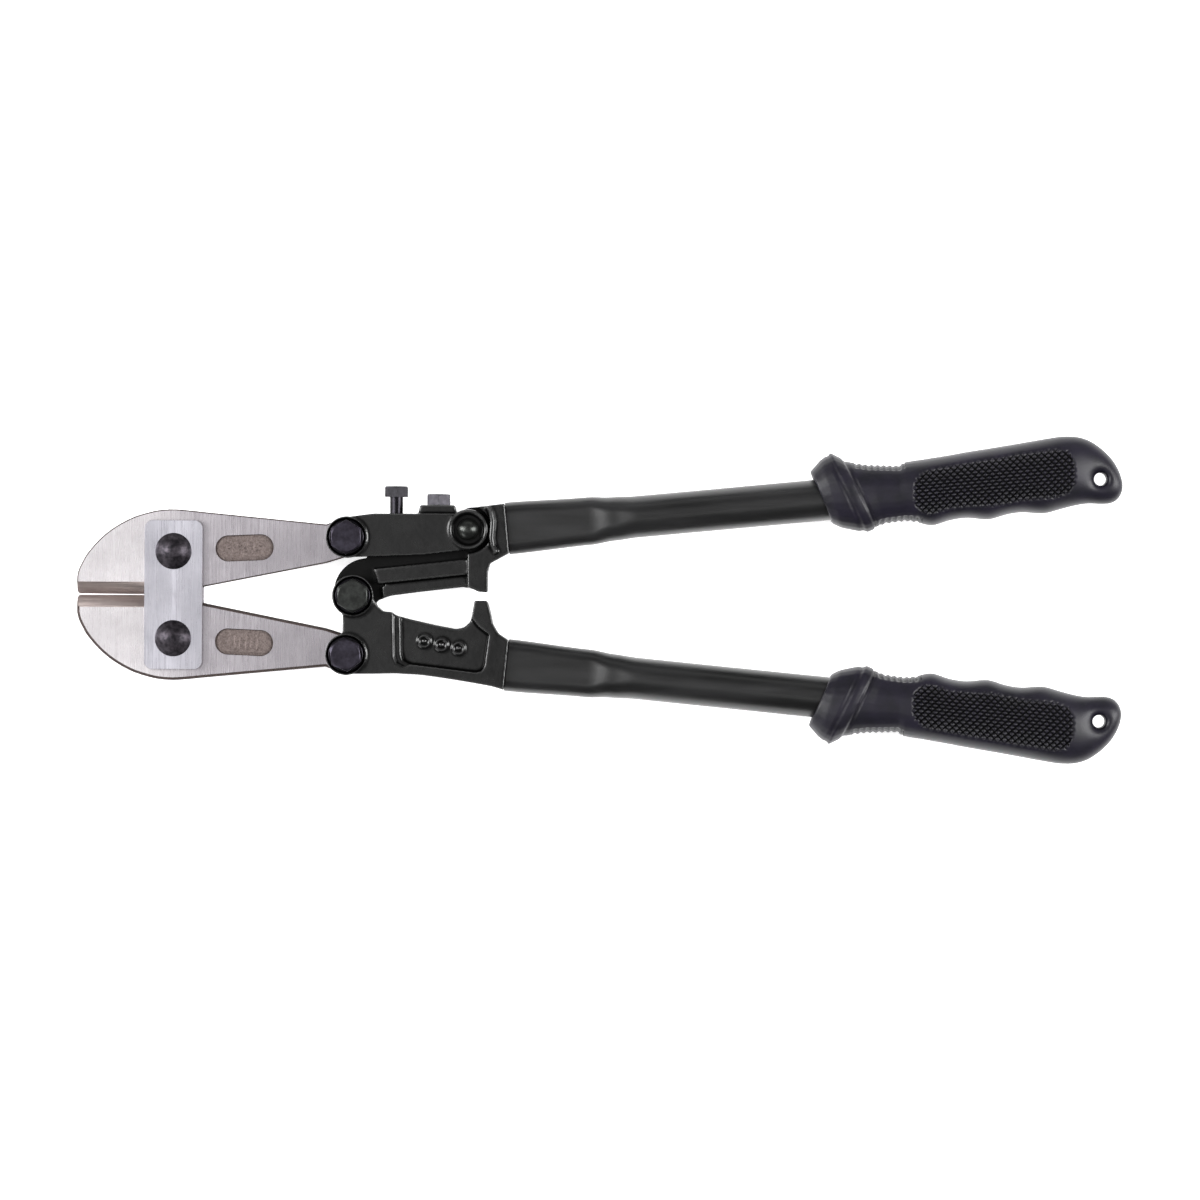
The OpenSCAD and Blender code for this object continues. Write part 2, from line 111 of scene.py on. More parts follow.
def new_object(name, mesh):
    """Links a mesh into the scene as an object."""
    piece = bpy.data.objects.new(name, mesh)
    bpy.context.scene.collection.objects.link(piece)
    return piece


floor_mesh = bpy.data.meshes.new("floor")
floor_half = 4.0
floor_mesh.from_pydata([(x * floor_half, y * floor_half, -0.0002) for x, y in
                        ((-1, -1), (1, -1), (1, 1), (-1, 1))], [], [(0, 1, 2, 3)])
floor_mesh.materials.append(floor_paint())
new_object("floor", floor_mesh)

mm = 0.001
middle_z = sum(corner.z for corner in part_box("upper_jaw")) / 2
view_width = 0.5243
camera_height = 3.0
camera_data = bpy.data.cameras.new("camera")
camera_data.sensor_width = 36
camera_data.lens = camera_data.sensor_width * (camera_height - middle_z) / view_width
camera_data.clip_end = 50
camera = bpy.data.objects.new("camera", camera_data)
camera.location = (0, -0.0012, camera_height)
camera.rotation_euler = (0, 0, math.radians(0.35))
bpy.context.scene.collection.objects.link(camera)
bpy.context.scene.camera = camera


def softbox(name, place, aim, size, radiance):
    """One rectangular area light at a place, facing an aim point, as bright as its radiance."""
    data = bpy.data.lights.new(name, "AREA")
    data.shape = "RECTANGLE"
    data.size, data.size_y = size
    data.energy = radiance * math.pi * size[0] * size[1]
    light = bpy.data.objects.new(name, data)
    light.location = place
    light.rotation_euler = (Vector(aim) - Vector(place)).to_track_quat("-Z", "Y").to_euler()
    bpy.context.scene.collection.objects.link(light)


softbox("top_softbox", (-1.2, 0.2, 2.4), (-0.9, 0.2, 0), (1.9, 2.2), 1.1)
softbox("left_strip", (-1.2, 0.2, 0.85), (0, 0, 0), (0.55, 1.1), 15)
softbox("right_strip", (1.25, 0.1, 0.8), (0, 0, 0), (0.55, 1.0), 14)
softbox("right_softbox", (1.25, 0.15, 1.5), (0.2, 0, 0), (0.6, 0.8), 6.5)
softbox("far_strip", (0.1, 1.4, 0.75), (0, 0, 0), (1.9, 0.35), 0.95)
softbox("near_left_strip", (-0.9, -0.95, 0.45), (-0.18, 0, 0), (0.8, 0.3), 4)
softbox("ridge_strip", (0.35, -0.4, 1.9), (0.1, 0, 0), (1.6, 0.18), 1.8)

world = bpy.data.worlds.new("studio")
world.use_nodes = True
world.node_tree.nodes["Background"].inputs["Color"].default_value = linear("#ffffff")
world.node_tree.nodes["Background"].inputs["Strength"].default_value = 0.16
bpy.context.scene.world = world
bpy.context.scene.view_settings.view_transform = "Standard"


# ---- Jaws ----
# Two drop-forged tool-steel jaws, ground flat on both faces, with the cutting bevels ground to a
# centre edge. Side walls and the oblong recess stay as forged, dark and rough, with raised marks.
def worked_copy(node, name, flat_angle=0.5):
    """A bmesh of the node's shape with its flat faces joined up, ready for work on its edges."""
    bm = bmesh.new()
    bm.from_mesh(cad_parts[node].data)
    bmesh.ops.remove_doubles(bm, verts=bm.verts, dist=1e-6)
    bmesh.ops.dissolve_limit(bm, angle_limit=math.radians(flat_angle), verts=bm.verts, edges=bm.edges)
    bmesh.ops.recalc_face_normals(bm, faces=bm.faces)
    return bm


def from_bmesh(bm, name):
    """Turns a bmesh into a piece."""
    mesh = bpy.data.meshes.new(name)
    bm.to_mesh(mesh)
    bm.free()
    return new_object(name, mesh)


def bake(piece):
    """Bakes the piece's modifiers into its mesh."""
    evaluated = piece.evaluated_get(bpy.context.evaluated_depsgraph_get())
    mesh = bpy.data.meshes.new_from_object(evaluated)
    piece.modifiers.clear()
    piece.data = mesh


def shade(piece, angle=35):
    """Smooth shading that leaves broad flat faces flat and creases sharper than the angle."""
    piece.data.shade_smooth()
    piece.data.set_sharp_from_angle(angle=math.radians(angle))
    weigh = piece.modifiers.new("weigh", "WEIGHTED_NORMAL")
    weigh.keep_sharp = True
    bake(piece)


def turn(edge):
    """The angle in degrees by which the surface turns at an edge."""
    return math.degrees(edge.calc_face_angle(0))


def ease(bm, edges, width, segments=3, material=-1):
    """Rounds the chosen edges."""
    bmesh.ops.bevel(bm, geom=list(edges), offset=width, offset_type="OFFSET", segments=segments,
                    profile=0.5, affect="EDGES", clamp_overlap=True, material=material)


def finish_piece(piece, materials, body, slot, *nodes):
    """Gives a piece its finishes and its body, and hides the CAD nodes it stands for. The slot is not
    used.
    """
    if not piece.data.materials:
        for material in materials:
            piece.data.materials.append(material)
    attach(piece, body)
    if nodes:
        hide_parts(*nodes)


def ground_steel(name, light, dark, lay, roughness, shaded_pale=None, shaded_deep=None):
    """Tool steel off the surface grinder: fine parallel scratches along one direction (lay), which
    give a satin sheen, over a faint cloudy tone. Scratches are drawn 0.35 mm apart so that they show.
    The shaded colours paint shade on the part behind the straps, drawn darker than the nose."""
    material, place = blank_material(name)
    across, along = 2800, 60
    scale = (across, along, across) if lay == "y" else (along, across, across)
    stretched = add_node(material, "ShaderNodeMapping", {"Scale": scale}, {"Vector": place})
    scratches = add_node(material, "ShaderNodeTexNoise", {"Scale": 1.0, "Detail": 3.0, "Roughness": 0.6},
                         {"Vector": stretched.outputs[0]})
    clouds = add_node(material, "ShaderNodeTexNoise", {"Scale": 75.0, "Detail": 6.0, "Roughness": 0.65},
                      {"Vector": place})
    tone = add_node(material, "ShaderNodeMix", {"data_type": "FLOAT", 0: 0.5},
                    {2: scratches.outputs["Fac"], 3: clouds.outputs["Fac"]})
    tint = colour_ramp(material, tone.outputs[0], (0.3, dark), (0.68, light))
    # Painted shade: behind the straps the steel fades into the darker shaded colours.
    if shaded_pale:
        body = colour_ramp(material, tone.outputs[0], (0.3, shaded_deep), (0.68, shaded_pale))
        reach = add_node(material, "ShaderNodeSeparateXYZ", links={"Vector": place})
        shade_fade = add_node(material, "ShaderNodeMapRange",
                          {1: strap_middle - 0.012, 2: strap_middle + 0.01}, {0: reach.outputs["X"]})
        blend = add_node(material, "ShaderNodeMix", {"data_type": "RGBA"}, {0: shade_fade.outputs[0]})
        material.node_tree.links.new(tint, blend.inputs["A"])
        material.node_tree.links.new(body, blend.inputs["B"])
        tint = blend.outputs["Result"]
    gloss = add_node(material, "ShaderNodeMapRange",
                     {1: 0.3, 2: 0.7, 3: roughness - 0.05, 4: roughness + 0.1},
                     {0: scratches.outputs["Fac"]})
    bump = add_node(material, "ShaderNodeBump", {"Strength": 0.2, "Distance": 0.00006},
                    {"Height": scratches.outputs["Fac"]})
    return surface(material, {"Metallic": 1.0, "Anisotropic": 0.3},
                   {"Base Color": tint, "Roughness": gloss.outputs[0], "Normal": bump.outputs[0]})


def forged_scale(name, dark, light):
    """As-forged scale: pitted, dull and brown-grey."""
    material, place = blank_material(name)
    grit = add_node(material, "ShaderNodeTexNoise", {"Scale": 1500.0, "Detail": 4.0, "Roughness": 0.65},
                    {"Vector": place})
    tint = colour_ramp(material, grit.outputs["Fac"], (0.32, dark), (0.7, light))
    bump = add_node(material, "ShaderNodeBump", {"Strength": 0.7, "Distance": 0.0002},
                    {"Height": grit.outputs["Fac"]})
    return surface(material, {"Metallic": 0.6, "Roughness": 0.62},
                   {"Base Color": tint, "Normal": bump.outputs[0]})


def smooth_step(low, high, value):
    """Eases from 0 at low to 1 at high."""
    share = min(max((value - low) / (high - low), 0), 1)
    return share * share * (3 - 2 * share)


def solid_object(name, verts, faces):
    """An object from points and faces that close it, with all its faces turned outwards."""
    mesh = bpy.data.meshes.new(name)
    mesh.from_pydata(verts, [], faces)
    bm = bmesh.new()
    bm.from_mesh(mesh)
    bmesh.ops.remove_doubles(bm, verts=bm.verts, dist=1e-7)
    bmesh.ops.recalc_face_normals(bm, faces=bm.faces)
    bm.to_mesh(mesh)
    bm.free()
    return new_object(name, mesh)


def closed_grid(name, columns, rows, upper, floor_z):
    """A closed pad on a grid of u and v from -1 to 1: upper(u, v) gives a point of its upper side."""
    tops = [upper(2 * i / columns - 1, 2 * j / rows - 1)
            for j in range(rows + 1) for i in range(columns + 1)]
    count = len(tops)
    verts = tops + [(x, y, floor_z) for x, y, _ in tops]
    wide = columns + 1
    faces = []
    for j in range(rows):
        for i in range(columns):
            a = j * wide + i
            quad = (a, a + 1, a + wide + 1, a + wide)
            faces.append(quad)
            faces.append(tuple(count + k for k in reversed(quad)))
    rim = list(range(wide))
    rim += [j * wide + columns for j in range(1, rows + 1)]
    rim += [rows * wide + i for i in range(columns - 1, -1, -1)]
    rim += [j * wide for j in range(rows - 1, 0, -1)]
    for k, a in enumerate(rim):
        b = rim[(k + 1) % len(rim)]
        faces.append((b, a, count + a, count + b))
    return solid_object(name, verts, faces)


strap_middle = sum(corner.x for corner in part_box("front_strap")) / 2
# The last two colours are painted shade on the jaws behind the straps.
jaw_steel = ground_steel("ground_jaw_steel", "#e4e0e2", "#c2bdc0", "y", 0.26, "#bab5ba", "#9a959a")
bevel_steel = ground_steel("ground_cutting_bevel", "#b9aca8", "#948886", "x", 0.4)
recess_scale = forged_scale("forged_recess", "#4c4240", "#7d716d")
wall_scale = forged_scale("forged_side_wall", "#332b2a", "#534845")
jaw_half = (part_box("upper_jaw")[1].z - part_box("upper_jaw")[0].z) / 2
recess_turn = math.radians(2.5)
recess_length, recess_width, recess_depth = 25 * mm, 11 * mm, 1 * mm
recess_behind, recess_aside = 30.8 * mm, 1.6 * mm
recess_room = 0.985
recess_corner = (13 * mm, 7 * mm)
strap_cover = (9 * mm, 12 * mm)
# Width of the dark lips of the recess: painted shadow at its rim.
lip_shadow_width = 0.3 * mm
# Bars: place along the recess and half height. Dots: place along and across it. All in half sizes.
raised_bars = [(-0.52, 0.5), (-0.3, 0.62), (-0.12, 0.4), (0.1, 0.62), (0.27, 0.5), (0.5, 0.6)]
raised_dots = [(-0.55, 0.1), (-0.38, -0.28), (-0.2, 0.22), (0.02, -0.2), (0.2, 0.25), (0.42, -0.12),
               (0.6, 0.2)]


def mark_height(u, v, bars):
    """Raised size marks in the recess: plain bars on one jaw, plain dots on the other."""
    if bars:
        return max(smooth_step(0.055, 0.02, abs(u - at)) * smooth_step(tall, tall - 0.12, abs(v))
                   for at, tall in raised_bars)
    return max(smooth_step(0.09, 0.03, math.hypot(u - at, (v - up) * recess_width / recess_length))
               for at, up in raised_dots)


def blade_bolt(name):
    """The middle of the blade bolt that a jaw turns on."""
    return sum(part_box(name.split("_")[0] + "_blade_bolt"), Vector()) / 2


def recess_floor(name, side, face, bars):
    """The rough forged floor of one recess, swept up a little towards its middle."""
    at_x = blade_bolt(name).x + recess_behind
    at_y = blade_bolt(name).y + side * recess_aside
    base = middle_z + face * (jaw_half - recess_depth)

    def upper(u, v):
        half_length = recess_length / 2 - recess_width / 2 * (1 - math.sqrt(max(1 - v * v, 0)))
        x = u * half_length * recess_room
        y = v * recess_width / 2 * recess_room
        inside = smooth_step(1, 0.8, abs(u)) * smooth_step(1, 0.72, abs(v))
        rough = noise.noise(Vector((x, y, side * 0.01)) / (0.7 * mm)) * 0.09 * mm
        lift = inside * (0.25 * mm + 0.42 * mm * mark_height(u, v, bars)) + rough + 0.12 * mm
        turned = (x * math.cos(recess_turn) - side * y * math.sin(recess_turn),
                  side * x * math.sin(recess_turn) + y * math.cos(recess_turn))
        return at_x + turned[0], at_y + turned[1], base + face * lift

    pad = closed_grid(name + "_recess_%d" % face, 110, 50, upper, base - face * 0.2 * mm)
    pad.data.shade_smooth()
    finish_piece(pad, (recess_scale,), name, "jaw_steel")


for side, name, rim_shade_width in ((1, "upper_jaw", 0.9 * mm), (-1, "lower_jaw", 1.25 * mm)):
    bm = worked_copy(name, name)
    bolt = blade_bolt(name)
    recess = Vector((bolt.x + recess_behind, bolt.y + side * recess_aside, middle_z))
    for face in bm.faces:
        height = abs(face.calc_center_median().z - middle_z)
        if abs(face.normal.z) < 0.3:
            face.material_index = 3
        elif 0.3 < abs(face.normal.z) < 0.95:
            face.material_index = 1
        elif height < jaw_half - 0.4 * mm:
            face.material_index = 2
    rim = []
    lips = []
    for edge in bm.edges:
        if len(edge.link_faces) != 2 or turn(edge) < 60:
            continue
        levels = [abs(face.normal.z) > 0.98 for face in edge.link_faces]
        middle = (edge.verts[0].co + edge.verts[1].co) / 2
        flush = abs(middle.z - middle_z) > jaw_half - 0.1 * mm
        hidden = abs(middle.x - bolt.x) < strap_cover[0] and abs(middle.y - bolt.y) < strap_cover[1]
        if sum(levels) != 1 or not flush or hidden:
            continue
        wall = [face for face in edge.link_faces if abs(face.normal.z) <= 0.98][0]
        outward = (wall.normal.xy).dot(middle.xy - recess.xy)
        near = abs(middle.x - recess.x) < recess_corner[0] and abs(middle.y - recess.y) < recess_corner[1]
        if near and outward < 0:
            lips.append(edge)
        else:
            rim.append(edge)
    # The eased rim and the recess lips take the dark side-wall scale: partly the forged wall's own
    # colour, partly painted shade along the edges, drawn wider on the lower jaw.
    ease(bm, rim, rim_shade_width, 2, 3)
    ease(bm, [edge for edge in lips if edge.is_valid], lip_shadow_width, 2, 3)
    jaw = from_bmesh(bm, "jaw_" + name.split("_")[0])
    for material in (jaw_steel, bevel_steel, recess_scale, wall_scale):
        jaw.data.materials.append(material)
    shade(jaw)
    finish_piece(jaw, (), name, "jaw_steel", name)
    for face in (1, -1):
        recess_floor(name, side, face, side < 0)


# ---- Straps ----
# Two cold-rolled steel plates that tie the blade bolts together, linished lengthways.
strap_steel = ground_steel("linished_strap_steel", "#cac8d0", "#a9a8b0", "y", 0.28)
strap_edge = ground_steel("sheared_strap_edge", "#8f8b90", "#6d696e", "x", 0.45)
for name in ("front_strap", "back_strap"):
    bm = worked_copy(name, name)
    for face in bm.faces:
        face.material_index = 0 if abs(face.normal.z) > 0.9 else 1
    corners = [edge for edge in bm.edges if turn(edge) > 60
               and any(abs(face.normal.z) > 0.98 for face in edge.link_faces)]
    ease(bm, corners, 0.5 * mm, 3, 1)
    strap = from_bmesh(bm, "strap_" + name.split("_")[0])
    strap.data.materials.append(strap_steel)
    strap.data.materials.append(strap_edge)
    shade(strap)
    finish_piece(strap, (), "straps", "strap_steel", name)


# ---- Bolts, nuts and washers ----
# Forged steel fasteners finished in black oxide, which leaves a thin mottled purple-black skin that
# is rubbed brighter on the crowns. The blade bolts have plain domed heads.
def black_oxide(name, dark, light, roughness, blotch_size):
    """Oiled black oxide: dark metal with blotches of the given size in metres."""
    material, place = blank_material(name)
    blotch = add_node(material, "ShaderNodeTexNoise",
                      {"Scale": 1 / blotch_size, "Detail": 5.0, "Roughness": 0.7}, {"Vector": place})
    grain = add_node(material, "ShaderNodeTexNoise", {"Scale": 2600.0, "Detail": 2.0}, {"Vector": place})
    tint = colour_ramp(material, blotch.outputs["Fac"], (0.38, dark), (0.7, light))
    bump = add_node(material, "ShaderNodeBump", {"Strength": 0.3, "Distance": 0.00008},
                    {"Height": grain.outputs["Fac"]})
    return surface(material, {"Metallic": 0.9, "Roughness": roughness},
                   {"Base Color": tint, "Normal": bump.outputs[0]})


dome_oxide = black_oxide("mottled_black_oxide", "#201e22", "#4c474d", 0.42, 2.2 * mm)
bolt_oxide = black_oxide("purple_black_oxide", "#28252c", "#3e3b45", 0.36, 4 * mm)
centre_oxide = black_oxide("grey_black_oxide", "#2a2b2a", "#434543", 0.3, 4 * mm)
washer_oxide = black_oxide("washer_black", "#121114", "#222025", 0.26, 4 * mm)
fastener_bodies = {"blade": "straps", "upper_tail": "upper_handle", "lower_tail": "lower_handle",
                   "centre": "lower_handle", "link_pivot": "upper_handle"}
edge_turn = 22
edge_round, washer_round = 0.22 * mm, 0.55 * mm
close_by = []
for node in sorted(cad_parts):
    kind = node.rsplit("_", 1)[-1]
    if kind not in ("bolt", "nut", "washer") and node != "link_pivot_screw":
        continue
    place = "blade" if "blade" in node else node.rsplit("_", 1)[0]
    bm = worked_copy(node, node, 0.2)
    width = washer_round if kind == "washer" else edge_round
    ease(bm, [edge for edge in bm.edges if turn(edge) > edge_turn], width, 3)
    piece = from_bmesh(bm, "fastener_" + node)
    shade(piece)
    coat = washer_oxide if kind in ("washer", "nut") else bolt_oxide
    if node.endswith("blade_bolt"):
        coat = dome_oxide
    elif node in ("centre_bolt", "link_pivot_screw"):
        coat = centre_oxide
    close_by.append(piece)
    finish_piece(piece, (coat,), fastener_bodies[place],
                 "blade_bolt_oxide" if "blade" in node else "fastener_oxide", node)


# ---- Adjusting and locking screws ----
# Two M6 hexagon screws through the top of the link: dull zinc-plated heads on oily black shanks.
def zinc_plate(name, dark, light):
    """Dull grey barrel-plated zinc."""
    material, place = blank_material(name)
    cloud = add_node(material, "ShaderNodeTexNoise", {"Scale": 500.0, "Detail": 4.0}, {"Vector": place})
    tint = colour_ramp(material, cloud.outputs["Fac"], (0.3, dark), (0.7, light))
    return surface(material, {"Metallic": 0.8, "Roughness": 0.5}, {"Base Color": tint})


screw_head = 4.8 * mm
head_lift = 0.06 * mm
near_head = 0.05 * mm
shank_share = 0.95
# The adjusting screw's zinc is drawn darker than the locking screw's: painted shade on its head.
for node, dark, light in (("adjusting_screw", "#151417", "#262529"),
                          ("locking_screw", "#2a292d", "#444247")):
    zinc = zinc_plate("dull_zinc_" + node, dark, light)
    bm = worked_copy(node, node, 0.2)
    ease(bm, [edge for edge in bm.edges if turn(edge) > edge_turn], edge_round, 2)
    head_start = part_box(node)[1].y - screw_head
    screw_axis = sum(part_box(node), Vector()) / 2
    for vertex in bm.verts:
        if vertex.co.y < head_start - near_head:
            vertex.co.x = screw_axis.x + (vertex.co.x - screw_axis.x) * shank_share
            vertex.co.z = screw_axis.z + (vertex.co.z - screw_axis.z) * shank_share
        elif vertex.co.y < head_start + near_head:
            vertex.co.y += head_lift
    for face in bm.faces:
        face.material_index = 0 if face.calc_center_median().y > head_start - 0.01 * mm else 1
    piece = from_bmesh(bm, "plated_" + node)
    piece.data.materials.append(zinc)
    piece.data.materials.append(washer_oxide)
    shade(piece)
    finish_piece(piece, (), node, "screw_zinc", node)


# ---- Link and handle fittings ----
# Three drop forgings, shot-blasted and dipped in black paint. Their edges are rounded by the dies
# and the paint, which shines along the radii under the lamps; a painted highlight on the ridges
# and painted shade in the corners are added to it.
def hollow_scale(material, shallow, deep, at_shallow, at_deep):
    """A value that runs between two as the piece's own hollow attribute goes from shallow to deep."""
    hollow = add_node(material, "ShaderNodeAttribute", {"attribute_name": "hollow"})
    return add_node(material, "ShaderNodeMapRange", {1: shallow, 2: deep, 3: at_shallow, 4: at_deep},
                    {0: hollow.outputs["Fac"]}).outputs[0]


def shade_corners(material, tint, shallow, deep, specular):
    """Painted shade: darkens a colour and kills its shine in the corners."""
    corner_shade = add_node(material, "ShaderNodeMix", {"data_type": "RGBA"},
                     {0: hollow_scale(material, shallow, deep, 0, 1)})
    material.node_tree.links.new(tint, corner_shade.inputs["A"])
    corner_shade.inputs["B"].default_value = linear("#020202")
    return corner_shade.outputs["Result"], hollow_scale(material, shallow, deep, specular, 0.05)


def black_paint(name, dark, light, roughness, streak=1.0, hollows=False, specular=0.5):
    """Semi-gloss black stoving paint over a blasted forging: a soft orange peel 1.4 mm across. A
    streak above 1 draws the haze out along the handles. With hollows the paint carries painted
    shade in the corners and a painted highlight, a lighter grey, on the ridges."""
    material, place = blank_material(name)
    stretched = add_node(material, "ShaderNodeMapping", {"Scale": (1 / streak, 1, 1)}, {"Vector": place})
    peel = add_node(material, "ShaderNodeTexNoise", {"Scale": 420.0, "Detail": 2.0, "Roughness": 0.5},
                    {"Vector": place})
    haze = add_node(material, "ShaderNodeTexNoise", {"Scale": 160.0, "Detail": 5.0, "Roughness": 0.6},
                    {"Vector": stretched.outputs[0]})
    tint = colour_ramp(material, haze.outputs["Fac"], (0.3, dark), (0.7, light))
    gloss = add_node(material, "ShaderNodeMapRange",
                     {1: 0.3, 2: 0.7, 3: roughness - 0.05, 4: roughness + 0.08}, {0: haze.outputs["Fac"]})
    bump = add_node(material, "ShaderNodeBump", {"Strength": 0.3, "Distance": 0.0001},
                    {"Height": peel.outputs["Fac"]})
    if hollows:
        # Painted highlight: the paint turns lighter grey on the ridges. Painted shade: darker and duller
        # in the corners.
        ridge_highlight = add_node(material, "ShaderNodeMix", {"data_type": "RGBA"},
                          {0: hollow_scale(material, -0.12, -0.4, 0, 0.7)})
        material.node_tree.links.new(tint, ridge_highlight.inputs["A"])
        ridge_highlight.inputs["B"].default_value = linear("#525252")
        tint, specular = shade_corners(material, ridge_highlight.outputs["Result"], 0.03, 0.16, 0.42)
        return surface(material, {}, {"Base Color": tint, "Roughness": gloss.outputs[0],
                                      "Specular IOR Level": specular, "Normal": bump.outputs[0]})
    return surface(material, {"Specular IOR Level": specular},
                   {"Base Color": tint, "Roughness": gloss.outputs[0], "Normal": bump.outputs[0]})


# The forging paint carries painted shade in its corners and a painted highlight on its ridges.
fitting_paint = black_paint("black_forging_paint", "#040404", "#0e0e0e", 0.23, hollows=True)
# Flat black laid on the deep inner faces of the forgings: painted shade.
hollow_shade_paint = black_paint("painted_shade_in_hollows", "#030303", "#070707", 0.62, specular=0.09)


def ring_solid(centre, profile, sides=64):
    """Points and faces of a ring turned about a vertical line, from a closed profile of (r, z)."""
    count = len(profile)
    points = []
    for k in range(sides):
        angle = 2 * math.pi * k / sides
        points += [(centre[0] + r * math.cos(angle), centre[1] + r * math.sin(angle), z)
                   for r, z in profile]
    faces = []
    for k in range(sides):
        here = k * count
        there = ((k + 1) % sides) * count
        faces += [(here + i, there + i, there + (i + 1) % count, here + (i + 1) % count)
                  for i in range(count)]
    return points, faces


def read_points(mesh):
    """The vertices of a mesh as an array of points."""
    points = np.empty(len(mesh.vertices) * 3)
    mesh.vertices.foreach_get("co", points)
    return points.reshape(-1, 3)


def evened(mesh, steps, shares=1.0):
    """The vertices after a number of smoothing steps, each moved by its share of the way."""
    ends = np.empty(len(mesh.edges) * 2, dtype=np.int32)
    mesh.edges.foreach_get("vertices", ends)
    points = read_points(mesh)
    count = len(points)
    start, end = ends.reshape(-1, 2).T
    links = np.bincount(ends, minlength=count)[:, None]
    for _ in range(steps):
        total = [np.bincount(start, points[end, k], count) + np.bincount(end, points[start, k], count)
                 for k in range(3)]
        points = points + (np.stack(total, axis=1) / links - points) * shares
    return points


def hollowness(mesh, steps):
    """How hollow the surface is round each vertex, in mm: above 0 in a corner, below 0 on a ridge. It
    is the way from the vertex to where it would be after the given number of smoothing steps."""
    normals = np.empty(len(mesh.vertices) * 3)
    mesh.vertices.foreach_get("normal", normals)
    return ((evened(mesh, steps) - read_points(mesh)) * normals.reshape(-1, 3)).sum(axis=1) / mm


def store_hollow(mesh, values):
    """Keeps the hollow values on the mesh for its paint to read."""
    mesh.attributes.new("hollow", "FLOAT", "POINT").data.foreach_set("value", values)


def reskin(piece, grain):
    """Gives a piece one closed skin, drawn on a grid of the given grain."""
    remesh = piece.modifiers.new("skin", "REMESH")
    remesh.mode = "VOXEL"
    remesh.voxel_size = grain


coarse_grain = 0.7 * mm
coarse_passes = 26
soft_fade = 4 * mm


def forge(node, name, grain, passes, extras=(), soft_from=None):
    """A forging: the node's shape and some raised extras in one skin, with edges and corners softened
    as dies and paint leave them. Past soft_from along the tool it is first rounded on a coarser scale."""
    bm = bmesh.new()
    bm.from_mesh(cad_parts[node].data)
    bmesh.ops.remove_doubles(bm, verts=bm.verts, dist=1e-6)
    for points, faces in extras:
        made = [bm.verts.new(point) for point in points]
        added = [bm.faces.new([made[i] for i in face]) for face in faces]
        bmesh.ops.recalc_face_normals(bm, faces=added)
    piece = from_bmesh(bm, name)
    if soft_from:
        reskin(piece, coarse_grain)
        bake(piece)
        shares = np.clip((read_points(piece.data)[:, :1] - soft_from) / soft_fade, 0, 1)
        piece.data.vertices.foreach_set("co", evened(piece.data, coarse_passes, shares).ravel())
    reskin(piece, grain)
    soften = piece.modifiers.new("soften", "SMOOTH")
    soften.factor = 0.5
    soften.iterations = passes
    bake(piece)
    piece.data.materials.clear()
    piece.data.shade_smooth()
    return piece


clear_above = 0.03


def bead_solid(tree, path, face, radius, sides=8):
    """Points and faces of a round bead laid along a path of (x, y) on the surface that a tree holds."""
    line = [tree.ray_cast(Vector((x, y, middle_z + face * clear_above)), Vector((0, 0, -face)))[0]
            for x, y in path]
    points = []
    for k, point in enumerate(line):
        ahead = (line[min(k + 1, len(line) - 1)] - line[max(k - 1, 0)]).normalized()
        across = ahead.cross(Vector((0, 0, 1))).normalized()
        up = across.cross(ahead)
        points += [point + radius * (math.cos(a) * across + math.sin(a) * up)
                   for a in (2 * math.pi * i / sides for i in range(sides))]
    faces = [tuple(range(sides)), tuple(reversed(range(len(points) - sides, len(points))))]
    for k in range(len(line) - 1):
        here = k * sides
        faces += [(here + i, here + (i + 1) % sides, here + sides + (i + 1) % sides, here + sides + i)
                  for i in range(sides)]
    return points, faces


centre = sum(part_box("centre_washer"), Vector()) / 2
pivot = sum(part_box("link_pivot_nut"), Vector()) / 2
prong_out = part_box("lower_fitting")[1].z - middle_z
panel_floor = prong_out - 2.2 * mm
hollow_level = 5.2 * mm
bead_radius = 1.3 * mm
# Sections of the raised rings, as radius and height in mm: the lip of a bolt seat and the collar of
# the link's pivot above the outer face, and a pip above the floor of the panel.
lip = [(8.0, -0.6), (9.15, -0.6), (9.1, 0.35), (8.7, 0.8), (8.15, 0.35)]
collar = [(7.3, -0.6), (8.7, -0.6), (8.6, 0.35), (8.1, 0.55), (7.5, 0.35)]
pip = [(0.01, -0.4), (0.9, -0.4), (0.75, 0.45), (0.35, 0.8), (0.01, 0.85)]
wire = [(2.4 + 0.75 * math.cos(a), 0.95 * math.sin(a)) for a in (2 * math.pi * i / 10 for i in range(10))]
# The bead down the shoulder of the upper fitting, from the centre bolt, in mm.
shoulder_line = [(58.6, 39.5), (60, 36.5), (60.7, 33), (60.5, 29), (60.2, 25.5), (60.8, 22), (62.4, 19)]
shoulder_path = [(centre.x + x * mm, centre.y + y * mm) for x, y in shoulder_line]


def raised_ring(at, section, face, level, sides=64):
    """A ring with the given section, standing on one face of the tool at a level from its middle."""
    return ring_solid(at, [(r * mm, middle_z + face * (level + z * mm)) for r, z in section], sides)


